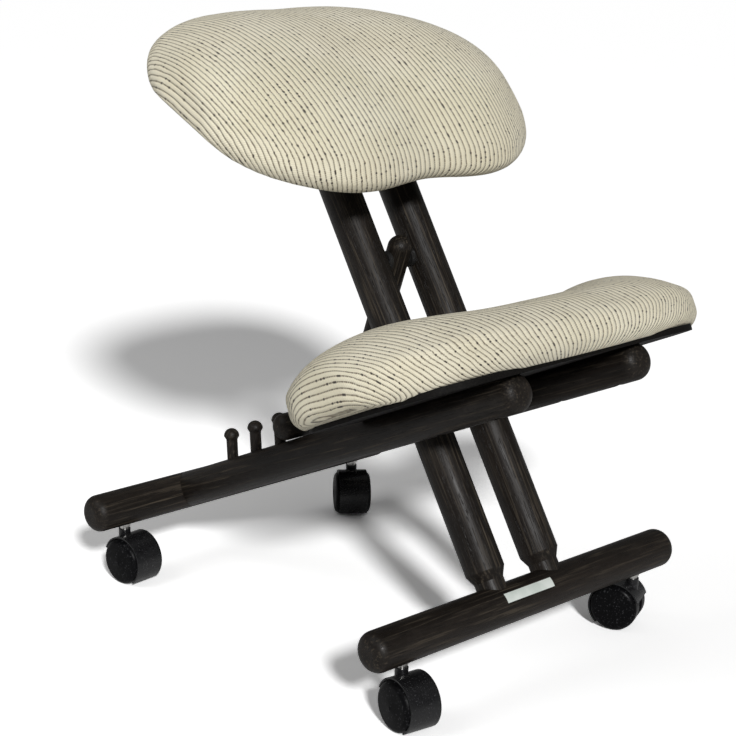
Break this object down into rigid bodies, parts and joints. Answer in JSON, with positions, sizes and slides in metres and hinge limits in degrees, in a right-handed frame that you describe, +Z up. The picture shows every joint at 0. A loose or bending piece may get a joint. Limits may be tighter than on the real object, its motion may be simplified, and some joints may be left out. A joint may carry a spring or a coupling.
{
  "type": "kneeling chair",
  "caption": "Kneeling chair: two crossing dowel frames on swivel casters, a forward-tilted seat cushion, a notched knee cushion and a pegged prop.",
  "frame": {"origin": "on the floor, below the middle of the chair's box", "axes": "+Z up, +X to the right of a person standing in front of the chair, -Y to the chair's front"},
  "size_m": [0.4644, 0.5282, 0.6151],
  "materials": {
    "stained_wood": "black-brown stain, satin, open grain",
    "black_board": "plywood painted black",
    "ribbed_fabric": "cream ribbed knit with dark flecks",
    "steel": "zinc plated",
    "spacer_plastic": "moulded",
    "label": "bare label",
    "caster_hood": "black, fine texture",
    "caster_wheel": "black, glossy"
  },
  "bodies": {
    "knee_frame": {"rear_bar": "stained_wood", "knee_rail_left": "stained_wood", "knee_rail_right": "stained_wood", "prop_pegs_left": "stained_wood", "prop_pegs_right": "stained_wood", "pivot_rod": "steel", "pivot_spacers": "spacer_plastic", "knee_board": "black_board", "knee_cushion": "ribbed_fabric", "knee_tee_nuts": "steel", "knee_bolts": "steel", "caster_sockets_rear": "steel"},
    "seat_frame": {"front_bar": "stained_wood", "seat_strut_left": "stained_wood", "seat_strut_right": "stained_wood", "seat_board": "black_board", "seat_cushion": "ribbed_fabric", "seat_tee_nuts": "steel", "seat_bolts": "steel", "prop_pin": "steel", "prop_spacers": "spacer_plastic", "label_plate": "label", "caster_sockets_front": "steel"},
    "prop": {"prop_strut": "stained_wood", "prop_foot": "stained_wood"},
    "caster_front_left_swivel": {"caster_front_left_hood": "caster_hood", "caster_front_left_stem": "steel", "caster_front_left_axle": "steel"},
    "caster_front_left_wheel_left": {"caster_front_left_wheel_left": "caster_wheel"},
    "caster_front_left_wheel_right": {"caster_front_left_wheel_right": "caster_wheel"},
    "caster_front_right_swivel": {"caster_front_right_hood": "caster_hood", "caster_front_right_stem": "steel", "caster_front_right_axle": "steel"},
    "caster_front_right_wheel_left": {"caster_front_right_wheel_left": "caster_wheel"},
    "caster_front_right_wheel_right": {"caster_front_right_wheel_right": "caster_wheel"},
    "caster_rear_left_swivel": {"caster_rear_left_hood": "caster_hood", "caster_rear_left_stem": "steel", "caster_rear_left_axle": "steel"},
    "caster_rear_left_wheel_left": {"caster_rear_left_wheel_left": "caster_wheel"},
    "caster_rear_left_wheel_right": {"caster_rear_left_wheel_right": "caster_wheel"},
    "caster_rear_right_swivel": {"caster_rear_right_hood": "caster_hood", "caster_rear_right_stem": "steel", "caster_rear_right_axle": "steel"},
    "caster_rear_right_wheel_left": {"caster_rear_right_wheel_left": "caster_wheel"},
    "caster_rear_right_wheel_right": {"caster_rear_right_wheel_right": "caster_wheel"}
  },
  "joints": [
    {"name": "frame_pivot", "type": "hinge", "parent": "knee_frame", "child": "seat_frame", "pos_m": [0, -0.08602, 0.24223], "axis": [1, 0, 0], "range_deg": [0, 14]},
    {"name": "prop_hinge", "type": "hinge", "parent": "seat_frame", "child": "prop", "pos_m": [0, 0.00642, 0.38083], "axis": [1, 0, 0], "range_deg": [-14, 0]},
    {"name": "caster_front_left_swivel", "type": "hinge", "parent": "seat_frame", "child": "caster_front_left_swivel", "pos_m": [-0.167, -0.19388, 0.0605], "axis": [0, 0, 1], "continuous": true},
    {"name": "caster_front_left_spin_left", "type": "hinge", "parent": "caster_front_left_swivel", "child": "caster_front_left_wheel_left", "pos_m": [-0.16895, -0.20774, 0.025], "axis": [0.9903, -0.1392, 0], "continuous": true},
    {"name": "caster_front_left_spin_right", "type": "hinge", "parent": "caster_front_left_swivel", "child": "caster_front_left_wheel_right", "pos_m": [-0.16895, -0.20774, 0.025], "axis": [0.9903, -0.1392, 0], "continuous": true},
    {"name": "caster_front_right_swivel", "type": "hinge", "parent": "seat_frame", "child": "caster_front_right_swivel", "pos_m": [0.167, -0.19388, 0.0605], "axis": [0, 0, 1], "continuous": true},
    {"name": "caster_front_right_spin_left", "type": "hinge", "parent": "caster_front_right_swivel", "child": "caster_front_right_wheel_left", "pos_m": [0.16131, -0.18109, 0.025], "axis": [-0.9135, -0.4067, 0], "continuous": true},
    {"name": "caster_front_right_spin_right", "type": "hinge", "parent": "caster_front_right_swivel", "child": "caster_front_right_wheel_right", "pos_m": [0.16131, -0.18109, 0.025], "axis": [-0.9135, -0.4067, 0], "continuous": true},
    {"name": "caster_rear_left_swivel", "type": "hinge", "parent": "knee_frame", "child": "caster_rear_left_swivel", "pos_m": [-0.167, 0.24412, 0.0605], "axis": [0, 0, 1], "continuous": true},
    {"name": "caster_rear_left_spin_left", "type": "hinge", "parent": "caster_rear_left_swivel", "child": "caster_rear_left_wheel_left", "pos_m": [-0.16554, 0.2302, 0.025], "axis": [0.9945, 0.1045, 0], "continuous": true},
    {"name": "caster_rear_left_spin_right", "type": "hinge", "parent": "caster_rear_left_swivel", "child": "caster_rear_left_wheel_right", "pos_m": [-0.16554, 0.2302, 0.025], "axis": [0.9945, 0.1045, 0], "continuous": true},
    {"name": "caster_rear_right_swivel", "type": "hinge", "parent": "knee_frame", "child": "caster_rear_right_swivel", "pos_m": [0.167, 0.24412, 0.0605], "axis": [0, 0, 1], "continuous": true},
    {"name": "caster_rear_right_spin_left", "type": "hinge", "parent": "caster_rear_right_swivel", "child": "caster_rear_right_wheel_left", "pos_m": [0.15877, 0.23279, 0.025], "axis": [0.809, -0.5878, 0], "continuous": true},
    {"name": "caster_rear_right_spin_right", "type": "hinge", "parent": "caster_rear_right_swivel", "child": "caster_rear_right_wheel_right", "pos_m": [0.15877, 0.23279, 0.025], "axis": [0.809, -0.5878, 0], "continuous": true}
  ],
  "couplings": [
    {"joint": "prop_hinge", "follows": "frame_pivot", "ratio": -1}
  ]
}
